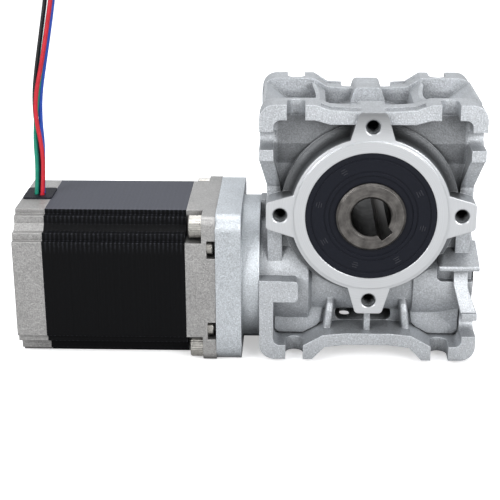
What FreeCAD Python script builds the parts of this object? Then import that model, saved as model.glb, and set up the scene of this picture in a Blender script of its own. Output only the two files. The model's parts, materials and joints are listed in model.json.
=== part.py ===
"""Size 30 worm gear reducer driven by a NEMA 23 stepper motor, one solid set per sub-part, in millimetres.

Origin: centre of the hollow output bore. Z is up. The output bore runs along Y and its front face looks
to -Y. The worm and the motor shaft run along X, CENTRE_DISTANCE below the bore, with the motor on -X.
"""
import FreeCAD, Part
import math
import os

V = FreeCAD.Vector
X_AXIS = V(1, 0, 0)
Y_AXIS = V(0, 1, 0)
Z_AXIS = V(0, 0, 1)

# Gear pair
CENTRE_DISTANCE = 30.0
MODULE = 1.5
WHEEL_TEETH = 30
PRESSURE_ANGLE = math.radians(20)
PITCH = math.pi * MODULE
WHEEL_PITCH_R = MODULE * WHEEL_TEETH / 2
WORM_PITCH_R = CENTRE_DISTANCE - WHEEL_PITCH_R
LEAD_ANGLE = math.atan(PITCH / (2 * math.pi * WORM_PITCH_R))
WORM_TIP_R = WORM_PITCH_R + MODULE
WORM_ROOT_R = WORM_PITCH_R - 1.2 * MODULE
WORM_Z = -CENTRE_DISTANCE
RIM_WIDTH = 14.0
RIM_OUTER_R = 24.75
RIM_INNER_R = 15.5

# Housing
HALF_WIDTH = 40.0
HALF_DEPTH = 28.0
TOP = 40.0
FEET = -57.0
RAIL = 5.5
CORNER_R = 5.5
RAIL_INNER_Y = 17.0
WEB_INNER_Y = 12.5
UPPER_WEB_Y = 16.7
UPPER_FLOOR_Y = 19.4
PAD_Y = 16.0
RECESS_Y = 14.6
SIDE_TOP_Z = 19.6
LEFT_STEP_Z = -25.9
RIGHT_FOOT_Z = -38.2
ARCH_X = 20.3
FRONT_BAND_Z = 37.6
BACK_BAND_Z = 36.2
GROOVE_DEPTH = 0.9
SADDLE_Z = 32.2
EAR_INNER_Y = 10.8
RIB_MIDDLE_Z = 37.0
DIP_R = 60.0
SIDE_RAIL_Y = 20.0
SLOT_W = 6.5
SLOT_X = 27.0
SLOT_Y = 22.0
FACE_Y = 29.5
PILOT_R = 27.5
PILOT_Y = 30.5
BOSS_R = 28.7
DRUM_R = 32.0
BARREL_R = 19.3
BARREL_LOW_Z = -41.2
FRONT_BOSS_R = 22.0
REAR_BOSS_R = 20.3
CHAMBER_R = 25.6
WORM_CHAMBER_R = 12.5
TAP_R = 2.5
TAP_PCD_R = 32.5
TAP_DEPTH = 11.0
TAP_MOUTH = 0.4
COVER_SCREW_R = 31.0
COVER_SCREW_TURNS = (-50, -130, 24, 156)

# Hollow output shaft
SHAFT_R = 12.5
SHAFT_END_Y = 31.5
BORE_R = 7.0
KEYWAY_W = 5.0
KEYWAY_TOP = 9.3
KEYWAY_ANGLE = -50.0

# Bearings: bore radius, outer radius, width, number of balls
BEARING_6005 = (12.5, 23.5, 12.0, 10)
BEARING_61904 = (10.0, 18.5, 9.0, 11)
BEARING_6201 = (6.0, 16.0, 10.0, 8)
BEARING_608 = (4.0, 11.0, 7.0, 7)
BALL_GAP = 0.15
OUT_BEARING_Y = 16.9
SEAL_R = 23.5
LIP_CLEARANCE = 0.05

# Worm line
WORM_BORE_R = 4.0
WORM_INPUT_X = -52.0
WORM_FRONT_BEARING_X = -27.5
WORM_REAR_BEARING_X = 27.0
THREAD_TURNS = 6.5

# Motor and its adapter flange
MOTOR_HALF = 28.2
FLAT_HALF = 18.5
MOTOR_REAR = -130.5
STACK_REAR = -119.5
STACK_FRONT = -67.0
PLATE_REAR = -61.0
MOTOR_FACE = -56.0
ADAPTER_FRONT = -46.7
HOUSING_LEFT = -40.0
ADAPTER_HALF = 28.5
MOUNT_PITCH = 23.57
TIE_Y = 24.6
TIE_Z = 16.0
ROTOR_R = 13.9
STATOR_BORE_R = 14.3
POLES = 8
FLANGE_SCREW_R = 22.5

# Flying leads: four wires, each through its own points from the grommet to its stripped end
LEAD_R = 0.8
LEAD_ROUTES = {
    "lead_red": [(-123.4, -2.7, -2.6), (-122.2, -2.7, 8), (-122.3, -2.7, 18), (-124.1, -2.7, 29),
                 (-123.4, -2.7, 38), (-120.7, -2.7, 48.5), (-117.9, -2.7, 62), (-114.8, -2.7, 78),
                 (-118.4, -2.7, 98), (-133.0, -2.7, 112), (-152.0, -2.7, 112), (-166.0, -2.7, 98),
                 (-170.5, -2.7, 72), (-171.5, -2.7, 40), (-169.0, -2.7, 4), (-169.5, -2.7, -28),
                 (-175.0, -2.7, -49), (-190.0, -2.7, -57.6), (-205.0, -3.1, -57.6)],
    "lead_green": [(-125.8, -1.5, -2.6), (-124.7, -1.4, 8), (-125.0, -1.2, 19), (-124.4, -0.9, 27),
                   (-123.3, -0.9, 36), (-121.1, -0.9, 48.5), (-118.3, -0.9, 62), (-115.2, -0.9, 78),
                   (-118.8, -0.9, 98), (-133.0, -0.9, 112), (-152.0, -0.9, 112), (-166.0, -0.9, 98),
                   (-170.5, -0.9, 72), (-171.5, -0.9, 40), (-169.0, -0.9, 4), (-169.5, -0.9, -28),
                   (-175.0, -0.9, -49), (-190.0, -0.9, -57.6), (-207.0, -0.9, -57.6)],
    "lead_black": [(-125.1, 1.2, -2.6), (-124.4, 1.3, 8), (-124.2, 1.3, 18), (-125.0, 1.1, 29),
                   (-124.7, 1.0, 38), (-123.0, 0.9, 48.5), (-120.4, 0.9, 62), (-117.5, 0.9, 78),
                   (-120.8, 0.9, 97), (-133.4, 0.9, 110.4), (-151.6, 0.9, 110.4), (-165.0, 0.9, 97),
                   (-169.2, 0.9, 72), (-170.2, 0.9, 40), (-167.7, 0.9, 4), (-168.2, 0.9, -28),
                   (-173.7, 0.9, -49), (-189.0, 0.9, -57.6), (-203.0, 0.9, -57.6)],
    "lead_blue": [(-123.5, -0.3, -2.6), (-122.9, -0.4, 8), (-122.3, -0.2, 18), (-122.9, 0.3, 27),
                  (-122.4, 0.6, 37), (-120.2, 0.9, 48.5), (-117.5, 0.9, 62), (-114.7, 1.2, 78),
                  (-117.2, 2.7, 98.4), (-132.4, 2.7, 113.4), (-152.6, 2.7, 113.4), (-167.2, 2.7, 98.6),
                  (-171.8, 2.7, 72), (-172.8, 2.7, 40), (-170.3, 2.7, 4), (-170.8, 2.7, -28),
                  (-176.3, 2.7, -49), (-191.0, 2.7, -57.6), (-206.0, 3.9, -57.6)],
}


def box(x0, y0, z0, x1, y1, z1):
    """Axis-aligned block between two corners."""
    return Part.makeBox(x1 - x0, y1 - y0, z1 - z0, V(x0, y0, z0))


def cyl_x(radius, x0, x1, y=0.0, z=WORM_Z):
    """Cylinder along X; it lies on the worm axis unless another place is given."""
    return Part.makeCylinder(radius, x1 - x0, V(x0, y, z), X_AXIS)


def cyl_y(radius, y0, y1, x=0.0, z=0.0):
    """Cylinder along Y; it lies on the output axis unless another place is given."""
    return Part.makeCylinder(radius, y1 - y0, V(x, y0, z), Y_AXIS)


def ring_x(outer, inner, x0, x1):
    """Ring on the worm axis."""
    return cyl_x(outer, x0, x1).cut(cyl_x(inner, x0, x1))


def ring_y(outer, inner, y0, y1):
    """Ring on the output axis."""
    return cyl_y(outer, y0, y1).cut(cyl_y(inner, y0, y1))


def cone_x(r0, r1, x0, x1):
    """Cone frustum on the worm axis."""
    return Part.makeCone(r0, r1, x1 - x0, V(x0, 0, WORM_Z), X_AXIS)


def fuse(shapes):
    """One clean solid out of several overlapping ones."""
    return shapes[0].multiFuse(shapes[1:]).removeSplitter()


def prism_y(points, y0, y1):
    """Closed XZ polygon pushed along Y."""
    wire = Part.makePolygon([V(x, y0, z) for x, z in points + points[:1]])
    return Part.Face(wire).extrude(V(0, y1 - y0, 0))


def prism_x(points, x0, x1):
    """Closed YZ polygon pushed along X."""
    wire = Part.makePolygon([V(x0, y, z) for y, z in points + points[:1]])
    return Part.Face(wire).extrude(V(x1 - x0, 0, 0))


def fillet_along(shape, direction, radius, keep=None):
    """Rounds the straight edges that run along a direction."""
    edges = []
    for edge in shape.Edges:
        if len(edge.Vertexes) != 2:
            continue
        run = edge.Vertexes[1].Point - edge.Vertexes[0].Point
        if run.Length > 0 and abs(abs(run.normalize().dot(direction)) - 1) < 1e-6:
            if keep is None or keep(edge.CenterOfMass):
                edges.append(edge)
    return shape.makeFillet(radius, edges) if edges else shape


def mirror_y(shape):
    """Copy on the other side of the mid-plane of the housing."""
    return shape.mirror(V(0, 0, 0), Y_AXIS)


def turned_y(shape, degrees):
    """Copy turned about the output axis."""
    copy = shape.copy()
    copy.rotate(V(0, 0, 0), Y_AXIS, degrees)
    return copy


def turned_x(shape, degrees):
    """Copy turned about the worm axis."""
    copy = shape.copy()
    copy.rotate(V(0, 0, WORM_Z), X_AXIS, degrees)
    return copy


# ---------------------------------------------------------------- housing

def slot_cutter(x, y, z0, z1, side):
    """U-shaped foot slot, open towards side (-1 front, 1 back), cut along Z."""
    half = SLOT_W / 2
    round_end = Part.makeCylinder(half, z1 - z0, V(x, side * y, z0), Z_AXIS)
    mouth = sorted([side * y, side * (HALF_DEPTH + 1)])
    return round_end.fuse(box(x - half, mouth[0], z0, x + half, mouth[1], z1))


def side_slot_cutter(z, x0, x1, side):
    """U-shaped slot in a side rail, open towards side, cut along X."""
    half = SLOT_W / 2
    round_end = Part.makeCylinder(half, x1 - x0, V(x0, side * SLOT_Y, z), X_AXIS)
    mouth = sorted([side * SLOT_Y, side * (HALF_DEPTH + 1)])
    return round_end.fuse(box(x0, mouth[0], z - half, x1, mouth[1], z + half))


def tray():
    """Front half of the frame: a web with raised rails around it, without bosses."""
    outline = box(-HALF_WIDTH, -HALF_DEPTH, FEET, HALF_WIDTH, -WEB_INNER_Y, TOP)
    outline = fillet_along(outline, Y_AXIS, CORNER_R)
    inner = HALF_WIDTH - RAIL + 0.4
    ceiling = TOP - RAIL
    floor = FEET + RAIL
    pocket = [(-inner, ceiling), (-ARCH_X, ceiling), (-15, 33), (15, 33), (ARCH_X, ceiling), (inner, ceiling),
              (inner, SIDE_TOP_Z), (32.6, 9), (31.8, -10), (31.8, -29), (34.3, RIGHT_FOOT_Z), (inner, -41),
              (inner, floor), (23.75, floor), (16.3, -47.2), (8, -46.4), (-8, -46.4), (-16.3, -47.2),
              (-23.75, floor), (-inner, floor), (-inner, -27), (-31.8, LEFT_STEP_Z), (-31.8, -5), (-32.6, 9),
              (-inner, SIDE_TOP_Z)]
    hollow = prism_y(pocket, -HALF_DEPTH, -RAIL_INNER_Y)
    hollow = fillet_along(hollow, Y_AXIS, 2.5, lambda c: abs(c.x) > 34 and (c.z > 30 or c.z < -50))
    upper_floor = [(-UPPER_FLOOR_Y, TOP), (-UPPER_FLOOR_Y, 24), (-RAIL_INNER_Y, 16), (-16, 16), (-16, TOP)]
    frame = outline.cut(hollow.cut(prism_x(upper_floor, -HALF_WIDTH, HALF_WIDTH)))
    deep = HALF_DEPTH + 1
    arch = [(-ARCH_X, FEET - 1), (-ARCH_X, FEET), (-15.7, -52), (-8, -51), (8, -51), (15.7, -52),
            (ARCH_X, FEET), (ARCH_X, FEET - 1)]
    left_waist = [(-42, SIDE_TOP_Z), (-HALF_WIDTH, SIDE_TOP_Z), (-37.4, 9), (-37, LEFT_STEP_Z),
                  (-42, LEFT_STEP_Z)]
    right_waist = [(42, SIDE_TOP_Z), (HALF_WIDTH, SIDE_TOP_Z), (37.4, 9), (36.9, -21), (36.8, -30),
                   (39.8, RIGHT_FOOT_Z), (42, RIGHT_FOOT_Z)]
    for profile in (arch, left_waist, right_waist):
        frame = frame.cut(prism_y(profile, -deep, -WEB_INNER_Y + 1))
    front = -deep
    left_step = [(front, SIDE_TOP_Z), (-26.5, SIDE_TOP_Z), (-SIDE_RAIL_Y, 8), (-SIDE_RAIL_Y, LEFT_STEP_Z),
                 (front, LEFT_STEP_Z)]
    right_step = [(front, SIDE_TOP_Z), (-26.5, SIDE_TOP_Z), (-SIDE_RAIL_Y, 8), (-SIDE_RAIL_Y, -24),
                  (-26.5, RIGHT_FOOT_Z), (front, RIGHT_FOOT_Z)]
    frame = frame.cut(prism_x(left_step, -HALF_WIDTH - 1, -31))
    frame = frame.cut(prism_x(right_step, 31, HALF_WIDTH + 1))
    return frame.cut(web_reliefs())


def web_reliefs():
    """Thinner web behind the top pads and the deeper floor under the worm."""
    thin = [(-UPPER_WEB_Y, TOP + 1), (-UPPER_WEB_Y, 27), (-WEB_INNER_Y, 24), (1, 24), (1, TOP + 1)]
    wide = HALF_WIDTH - RAIL + 0.4
    floor = FEET + RAIL
    lower = [(34.2, -36), (wide, -41), (wide, floor), (23.75, floor), (16.3, -47.2), (8, -46.4)]
    recess = lower + [(-x, z) for x, z in reversed(lower)]
    return fuse([prism_x(thin, -HALF_WIDTH - 1, HALF_WIDTH + 1),
                 prism_y(recess, -RAIL_INNER_Y - 0.1, -RECESS_Y)])


def corner_pad(side, fold_x, fold_z, lean, tilt):
    """Raised pad in a lower corner of the tray, with a facet that climbs towards the side rail."""
    outline = [(16.3, -36), (16.4, -41), (17.3, -46.6), (18.6, -48.2), (22.6, -50.5), (24, -51.1),
               (33, -51.1), (34.5, -49.6), (34.5, -36)]
    block = prism_y([(side * x, z) for x, z in outline], -PAD_Y - 4, -RECESS_Y + 1)
    flat = box(-HALF_WIDTH, -PAD_Y, FEET, HALF_WIDTH, -PAD_Y + 5, -30)
    facet = Part.makeBox(60, 5, 60, V(-30, 0, -30))
    facet.rotate(V(0, 0, 0), Z_AXIS, side * -tilt)
    facet.rotate(V(0, 0, 0), Y_AXIS, side * -lean)
    facet.translate(V(side * fold_x, -PAD_Y, fold_z))
    return block.common(flat.fuse(facet))


def band_dip(level):
    """Cutter that lowers the middle of a top rail to a level, over the whole depth of the rail."""
    return [(-ARCH_X, TOP + 1), (-ARCH_X, TOP), (-15, level + 0.5), (-7, level), (7, level),
            (15, level + 0.5), (ARCH_X, TOP), (ARCH_X, TOP + 1)]


def band_groove(level):
    """Shallow groove along the middle of a lowered top rail, between its front and rear ridges."""
    floor = level - GROOVE_DEPTH
    return [(-18.4, TOP + 1), (-18.4, TOP - 1.6), (-15, floor + 0.5), (-7, floor), (7, floor),
            (15, floor + 0.5), (18.4, TOP - 1.6), (18.4, TOP + 1)]


def gap_ribs():
    """Ribs that join the webs over the drum: a leaning pair near the middle, one in each top corner."""
    inner = [(20.9, 38.2), (20.2, 38.8), (16.2, 35), (15.2, 27), (21.4, 27), (18.2, 35.4)]
    outer = [(39, 38.4), (39, 36.6), (38, 35.7), (20, 22.2), (20, 24.6), (38.2, 38.4)]
    dip = cyl_x(DIP_R, -HALF_WIDTH, HALF_WIDTH, z=RIB_MIDDLE_Z + DIP_R)
    ribs = []
    for side in (-1, 1):
        for outline in (inner, outer):
            rib = prism_y([(side * x, z) for x, z in outline], -UPPER_WEB_Y - 1, UPPER_WEB_Y + 1)
            ribs.append(rib.cut(dip) if outline is inner else rib)
    return ribs


def ear(points, y0, y1):
    """Lug that carries one tapped hole of the output face."""
    return fillet_along(prism_y(points, y0, y1), Y_AXIS, 1.6, lambda c: max(abs(c.x), abs(c.z)) > 36)


TOP_EAR = [(-9, 22), (-8, 27.2), (-4.8, 37.6), (4.8, 37.6), (8, 27.2), (9, 22)]
BOTTOM_EAR = [(-9, -22), (-7.7, -27.6), (-4.8, -37.6), (4.8, -37.6), (7.7, -27.6), (9, -22)]
LEFT_EAR = [(-20, 9), (-26.5, 7.8), (-37.5, 4.6), (-37.5, -5.2), (-26.8, -8.6), (-20, -11)]
RIGHT_EAR = [(20, 9), (26.5, 7.8), (37.5, 4.6), (37.5, -5.2), (26.8, -8.6), (20, -11)]


def face_ears(y0, y1):
    """The four lugs around an output face."""
    return [ear(points, y0, y1) for points in (TOP_EAR, BOTTOM_EAR, LEFT_EAR, RIGHT_EAR)]


def half_ribs():
    """Ribs under the worm barrel: a rounded leaning rib on each side and a thin one between them."""
    ribs = []
    for side in (-1, 1):
        side_view = [(-RECESS_Y + 1, -35.5), (-18.2, -35.5), (-20.0, -37.6), (-20.9, -40.4), (-21.4, -50.4),
                     (-RECESS_Y + 1, -50.4)]
        bar = prism_x(side_view, -1.45, 1.45)
        crest = [e for e in bar.Edges if max(v.Y for v in e.Vertexes) < -18.1 and e.BoundBox.XLength < 0.1
                 and min(v.Z for v in e.Vertexes) > -51]
        bar = bar.makeFillet(1.1, crest)
        bar.rotate(V(0, 0, -43), Y_AXIS, side * -7)
        bar.translate(V(side * 14.2, 0, 0))
        ribs.append(bar)
    ribs.append(box(-1.1, -24, -48, 1.1, -RECESS_Y + 1, -34))
    return ribs


def boss_flank():
    """Solid of revolution under the pilot: a hollow flank that runs out in a thin ridge around the drum."""
    rim = V(BOSS_R, -FACE_Y, 0)
    waist = V(BOSS_R + 0.4, -25.2, 0)
    ridge = V(DRUM_R + 0.3, -20.6, 0)
    flank = Part.Arc(waist, V(BOSS_R + 1.2, -22.2, 0), ridge).toShape()
    outline = Part.Wire([Part.makeLine(V(0, -FACE_Y, 0), rim), Part.makeLine(rim, waist), flank,
                         Part.makeLine(ridge, V(DRUM_R, -19.6, 0)),
                         Part.makeLine(V(DRUM_R, -19.6, 0), V(DRUM_R, 0, 0)),
                         Part.makeLine(V(DRUM_R, 0, 0), V(0, 0, 0)),
                         Part.makeLine(V(0, 0, 0), V(0, -FACE_Y, 0))])
    return Part.Face(outline).revolve(V(0, 0, 0), Y_AXIS, 360)


def half_shell():
    """Everything of the front half that is cast: frame, boss, blocks and ribs."""
    left_block = box(-HALF_WIDTH, -HALF_DEPTH, -34.2, -25.8, -14, -26)
    left_block = fillet_along(left_block, Y_AXIS, 1.6, lambda c: c.x > -30)
    slope = [(-HALF_DEPTH, -21.6), (-HALF_DEPTH, -19.7), (-13, -14.6), (-13, -21.6)]
    right_block = prism_x(slope, 25.2, HALF_WIDTH)
    right_block = fillet_along(right_block, Y_AXIS, 1.2, lambda c: c.x < 26 and c.z < -21)
    right_block = fillet_along(right_block, X_AXIS, 0.8, lambda c: c.y < -27)
    pads = [corner_pad(-1, 31, -45, 29, 10), corner_pad(1, 26, -42.5, 49, 12.5)]
    return [tray(), boss_flank(), left_block, right_block] + pads + half_ribs()


def worm_barrel():
    """Outside of the worm chamber and of its two bearing bosses."""
    rear_boss = cyl_x(REAR_BOSS_R, 17, 38.8)
    for side in (-1, 1):
        ends = sorted([side * RAIL_INNER_Y, side * FRONT_BOSS_R])
        step = box(25.6, ends[0], -28.4, 39, ends[1], -8)
        step = fillet_along(step, Y_AXIS, 2.2, lambda c: c.z < -25 and c.x < 30)
        rear_boss = rear_boss.cut(step)
    skin = cyl_x(BARREL_R, -30, 25).common(box(-30, -BARREL_R, BARREL_LOW_Z, 25, BARREL_R, 0))
    return [skin, cyl_x(16.5, -30, 25), cyl_x(FRONT_BOSS_R, -HALF_WIDTH, -21.9),
            cone_x(FRONT_BOSS_R, BARREL_R, -21.9, -20.6), rear_boss,
            box(-HALF_WIDTH, -4.2, -13, -25.8, 4.2, -2), box(-HALF_WIDTH, -4.2, FEET, -25.8, 4.2, -46)]


def housing():
    """Die-cast gear case, open at the back for the wheel and at both ends for the worm."""
    front = half_shell()
    back = [mirror_y(s) for s in front]
    for half, level, reach in ((front, FRONT_BAND_Z, -1), (back, BACK_BAND_Z, 1)):
        rail = sorted([reach * WEB_INNER_Y, reach * (HALF_DEPTH + 1)])
        groove = sorted([reach * 21.4, reach * 26.9])
        half[0] = half[0].cut(prism_y(band_dip(level), *rail)).cut(prism_y(band_groove(level), *groove))
    saddle = fillet_along(box(-7, -11.4, 26, 7, 11.4, SADDLE_Z), Y_AXIS, 1.5, lambda c: c.z > 30)
    shapes = front + back + worm_barrel() + gap_ribs() + [saddle]
    shapes += face_ears(-FACE_Y, -EAR_INNER_Y) + face_ears(EAR_INNER_Y, 20)
    shapes.append(cyl_y(PILOT_R, -PILOT_Y, -20))
    shapes.append(box(-15.5, -RAIL_INNER_Y, -50.5, 15.5, RAIL_INNER_Y, -47))
    for turn in COVER_SCREW_TURNS:
        shapes.append(turned_y(cyl_y(5.2, 12.5, 20, x=COVER_SCREW_R), turn))
    shell = fuse(shapes)
    cavities = [cyl_y(CHAMBER_R, -10.9, HALF_DEPTH + 3), cyl_y(SEAL_R, -22.9, -10),
                cyl_y(21.5, -23.5, -22), cyl_y(SEAL_R, -PILOT_Y - 1, -23.3),
                cyl_y(PILOT_R + 8, 20, 32), cyl_x(WORM_CHAMBER_R, -24, 22.5),
                cyl_x(18.5, -HALF_WIDTH - 1, -23), cyl_x(19.3, -34.4, -33.2),
                cyl_x(16.0, 22, 40), cyl_x(16.7, 32.2, 33.4)]
    cavities += [box(-41, 20, -45.9, 41, 32, 45).common(cyl_y(46, 20, 32)).common(
        prism_y([(-31.8, 32.9), (31.8, 32.9), (31.8, -45.9), (-31.8, -45.9)], 20, 32))]
    window = box(-11.6, -RAIL_INNER_Y - 3, -46.3, 9.4, -WEB_INNER_Y + 2, -40.9)
    cavities.append(fillet_along(window, Y_AXIS, 2.2))
    drain = box(-9.6, -8, -51, -5.6, 4, -46.5)
    cavities.append(fillet_along(drain, Z_AXIS, 1.8))
    for side in (-1, 1):
        for x in (-SLOT_X, SLOT_X):
            cavities.append(slot_cutter(x, SLOT_Y, FEET - 1, FEET + RAIL, side))
            cavities.append(slot_cutter(x, SLOT_Y, TOP - RAIL, TOP + 1, side))
        cavities.append(side_slot_cutter(27, -HALF_WIDTH - 1, -34, side))
        cavities.append(side_slot_cutter(27, 34, HALF_WIDTH + 1, side))
        cavities.append(side_slot_cutter(-44, 34, HALF_WIDTH + 1, side))
    mouth = Part.makeCone(TAP_R + TAP_MOUTH, TAP_R, TAP_MOUTH, V(TAP_PCD_R, -FACE_Y, 0), Y_AXIS)
    for turn in (0, 90, 180, 270):
        cavities.append(turned_y(cyl_y(TAP_R, -FACE_Y - 1, -FACE_Y + TAP_DEPTH, x=TAP_PCD_R), turn))
        cavities.append(turned_y(mouth, turn))
        cavities.append(turned_x(cyl_x(TAP_R, HOUSING_LEFT, -27, z=WORM_Z + FLANGE_SCREW_R), turn))
    for turn in COVER_SCREW_TURNS:
        cavities.append(turned_y(cyl_y(TAP_R, 13, 21, x=COVER_SCREW_R), turn))
        cavities.append(turned_y(cyl_y(5.7, 20, 32, x=COVER_SCREW_R), turn))
    cavities.append(box(-9.5, 20, 20, 9.5, 32, 38.1))
    for cavity in cavities:
        shell = shell.cut(cavity)
    return max(shell.Solids, key=lambda s: s.Volume)


def side_cover():
    """Removable cover at the back that carries the second output bearing and seal."""
    shapes = [cyl_y(DRUM_R - 0.6, 20, 26), cyl_y(BOSS_R, 20, FACE_Y), cyl_y(PILOT_R, 22, PILOT_Y)]
    shapes += face_ears(20, FACE_Y) + [cyl_y(CHAMBER_R, 10.9, 22)]
    for turn in COVER_SCREW_TURNS:
        shapes.append(turned_y(cyl_y(5.2, 20, 26, x=COVER_SCREW_R), turn))
    cover = fuse(shapes)
    cover = cover.cut(cyl_y(SEAL_R, 10, 22.9)).cut(cyl_y(21.5, 22, 24)).cut(cyl_y(SEAL_R, 23.3, 32))
    cover = cover.cut(ring_y(CHAMBER_R + 1, CHAMBER_R - 1.2, 14, 16))
    mouth = Part.makeCone(TAP_R, TAP_R + TAP_MOUTH, TAP_MOUTH, V(TAP_PCD_R, FACE_Y - TAP_MOUTH, 0), Y_AXIS)
    for turn in (0, 90, 180, 270):
        cover = cover.cut(turned_y(cyl_y(TAP_R, 20, 31, x=TAP_PCD_R), turn)).cut(turned_y(mouth, turn))
    for turn in COVER_SCREW_TURNS:
        cover = cover.cut(turned_y(cyl_y(TAP_R, 19, 31, x=COVER_SCREW_R), turn))
        cover = cover.cut(turned_y(cyl_y(4.35, 25, 31, x=COVER_SCREW_R), turn))
    return cover


def cover_o_ring():
    """O-ring in the groove of the cover's spigot, squeezed to the groove's depth."""
    return Part.makeTorus(CHAMBER_R - 0.6, 0.6, V(0, 15, 0), Y_AXIS)


def cap_screw(shank_r, length, head_r, head_h, seat, direction):
    """Socket head cap screw whose head sits at seat and whose shank points along direction."""
    shank = Part.makeCylinder(shank_r, length, seat, direction)
    head_end = seat - direction * head_h
    head = Part.makeCylinder(head_r, head_h, head_end, direction)
    rim = [e for e in head.Edges if e.BoundBox.Center.distanceToPoint(head_end) < 0.01 and e.Closed]
    head = head.makeChamfer(0.35, rim[:1])
    socket_r = shank_r * 0.92
    helper = V(0, 0, 1) if abs(direction.z) < 0.9 else V(1, 0, 0)
    side = direction.cross(helper).normalize()
    up = direction.cross(side)
    corners = []
    for step in range(7):
        angle = math.radians(60 * step)
        corners.append(head_end + side * (socket_r * math.cos(angle)) + up * (socket_r * math.sin(angle)))
    socket = Part.Face(Part.makePolygon(corners)).extrude(direction * (head_h * 0.5))
    return head.fuse(shank).removeSplitter().cut(socket)


def cover_screws():
    """Four cap screws that hold the side cover."""
    screws = []
    for turn in COVER_SCREW_TURNS:
        screw = cap_screw(TAP_R, 12, 4.25, 3.2, V(COVER_SCREW_R, 25, 0), V(0, -1, 0))
        screws.append(turned_y(screw, turn))
    return Part.makeCompound(screws)


# ---------------------------------------------------------------- seals and bearings

def output_seal(side):
    """Rotary shaft seal of the hollow shaft, with its face grooves and inner lip."""
    body = ring_y(SEAL_R, 15.2, -30.2, -23.3)
    body = body.cut(ring_y(21.6, 21.0, -31, -29.9))
    body = body.cut(ring_y(16.9, 16.3, -31, -29.9))
    body = body.cut(ring_y(20.2, 16.6, -27.5, -22))
    lip = Part.makeCone(15.4, SHAFT_R + LIP_CLEARANCE + 0.9, 1.4, V(0, -29.6, 0), Y_AXIS)
    lip = lip.fuse(cyl_y(SHAFT_R + LIP_CLEARANCE + 0.9, -28.3, -26.2)).fuse(cyl_y(16.2, -28.3, -27.5))
    seal = body.fuse(lip).cut(cyl_y(SHAFT_R + LIP_CLEARANCE, -32, -22)).removeSplitter()
    return mirror_y(seal) if side > 0 else seal


def bearing(spec, place):
    """Deep groove ball bearing on the Z axis at the origin, moved by place: outer, inner, balls and cage."""
    bore_r, outer_r, width, count = spec
    mean_r = (bore_r + outer_r) / 2
    ball_r = 0.3 * (outer_r - bore_r)
    land = 0.72 * ball_r
    half = width / 2
    groove = Part.makeTorus(mean_r, ball_r + BALL_GAP, V(0, 0, 0), Z_AXIS)
    start = V(0, 0, -half)
    outer = Part.makeCylinder(outer_r, width, start).cut(Part.makeCylinder(mean_r + land, width, start))
    inner = Part.makeCylinder(mean_r - land, width, start).cut(Part.makeCylinder(bore_r, width, start))
    outer = outer.cut(groove)
    inner = inner.cut(groove)
    cage_half = min(half - 0.4, ball_r + 0.4)
    cage_t = 0.3 * ball_r
    cage_start = V(0, 0, -cage_half)
    cage = Part.makeCylinder(mean_r + cage_t, 2 * cage_half, cage_start)
    cage = cage.cut(Part.makeCylinder(mean_r - cage_t, 2 * cage_half, cage_start))
    balls = []
    for index in range(count):
        angle = 2 * math.pi * index / count
        centre = V(mean_r * math.cos(angle), mean_r * math.sin(angle), 0)
        balls.append(Part.makeSphere(ball_r - BALL_GAP, centre))
        pocket = Part.makeCylinder(ball_r - BALL_GAP + 0.1, 0.4 * mean_r, centre * 0.8, centre)
        cage = cage.cut(pocket)
    parts = [outer, inner, Part.makeCompound([cage] + balls)]
    return [place(p) for p in parts]


def on_output(y):
    """Placement of a Z-axis part on the output axis at y."""
    def place(shape):
        shape.rotate(V(0, 0, 0), X_AXIS, -90)
        shape.translate(V(0, y, 0))
        return shape
    return place


def on_worm(x):
    """Placement of a Z-axis part on the worm axis at x."""
    def place(shape):
        shape.rotate(V(0, 0, 0), Y_AXIS, 90)
        shape.translate(V(x, 0, WORM_Z))
        return shape
    return place


def worm_seal():
    """Rotary shaft seal behind the adapter flange."""
    seal = ring_x(18.5, 12.2, -39.4, -34.6).cut(ring_x(15.8, 12.5, -37.4, -34))
    lip = ring_x(12.6, 10 + LIP_CLEARANCE, -38.6, -36.2)
    return seal.fuse(lip).removeSplitter()


def circlip(outer, inner, x0, x1):
    """Internal retaining ring with its gap and two plier lugs."""
    ring = ring_x(outer, inner, x0, x1)
    ring = ring.cut(box(x0 - 1, -2.2, WORM_Z, x1 + 1, 2.2, WORM_Z + outer + 1))
    for side in (-1, 1):
        lug = cyl_x(1.9, x0, x1, y=side * 3.6, z=WORM_Z + inner - 0.6)
        lug = lug.cut(cyl_x(0.8, x0, x1, y=side * 3.6, z=WORM_Z + inner - 0.6))
        ring = ring.fuse(lug)
    return ring.common(cyl_x(outer, x0, x1)).removeSplitter()


def worm_end_cap():
    """Rubber-coated closing cap at the blind end of the worm bore."""
    cap = cyl_x(16.0, 34.2, 39.6).cut(cyl_x(13.6, 33, 37.6))
    return cap.cut(ring_x(12.6, 11.8, 39.1, 41))


# ---------------------------------------------------------------- gears and shafts

def keyway(radius, y0, y1):
    """Key slot reaching from the bore outwards, turned to its place."""
    slot = box(-KEYWAY_W / 2, y0, 0, KEYWAY_W / 2, y1, radius)
    slot.rotate(V(0, 0, 0), Y_AXIS, 90 - KEYWAY_ANGLE)
    return slot


def output_hub():
    """Hollow output shaft with the disc that carries the bronze rim."""
    hub = fuse([cyl_y(SHAFT_R, -SHAFT_END_Y, SHAFT_END_Y), cyl_y(RIM_INNER_R, -10.9, 10.9)])
    rims = [e for e in hub.Edges if e.Closed and abs(abs(e.CenterOfMass.y) - SHAFT_END_Y) < 0.01]
    hub = hub.makeChamfer(0.8, rims)
    hub = hub.cut(cyl_y(BORE_R, -40, 40)).cut(keyway(KEYWAY_TOP, -40, 40))
    for side in (-1, 1):
        mouth = Part.makeCone(BORE_R + 0.8, BORE_R, 0.8, V(0, side * SHAFT_END_Y, 0), V(0, -side, 0))
        hub = hub.cut(mouth)
    return hub


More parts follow.
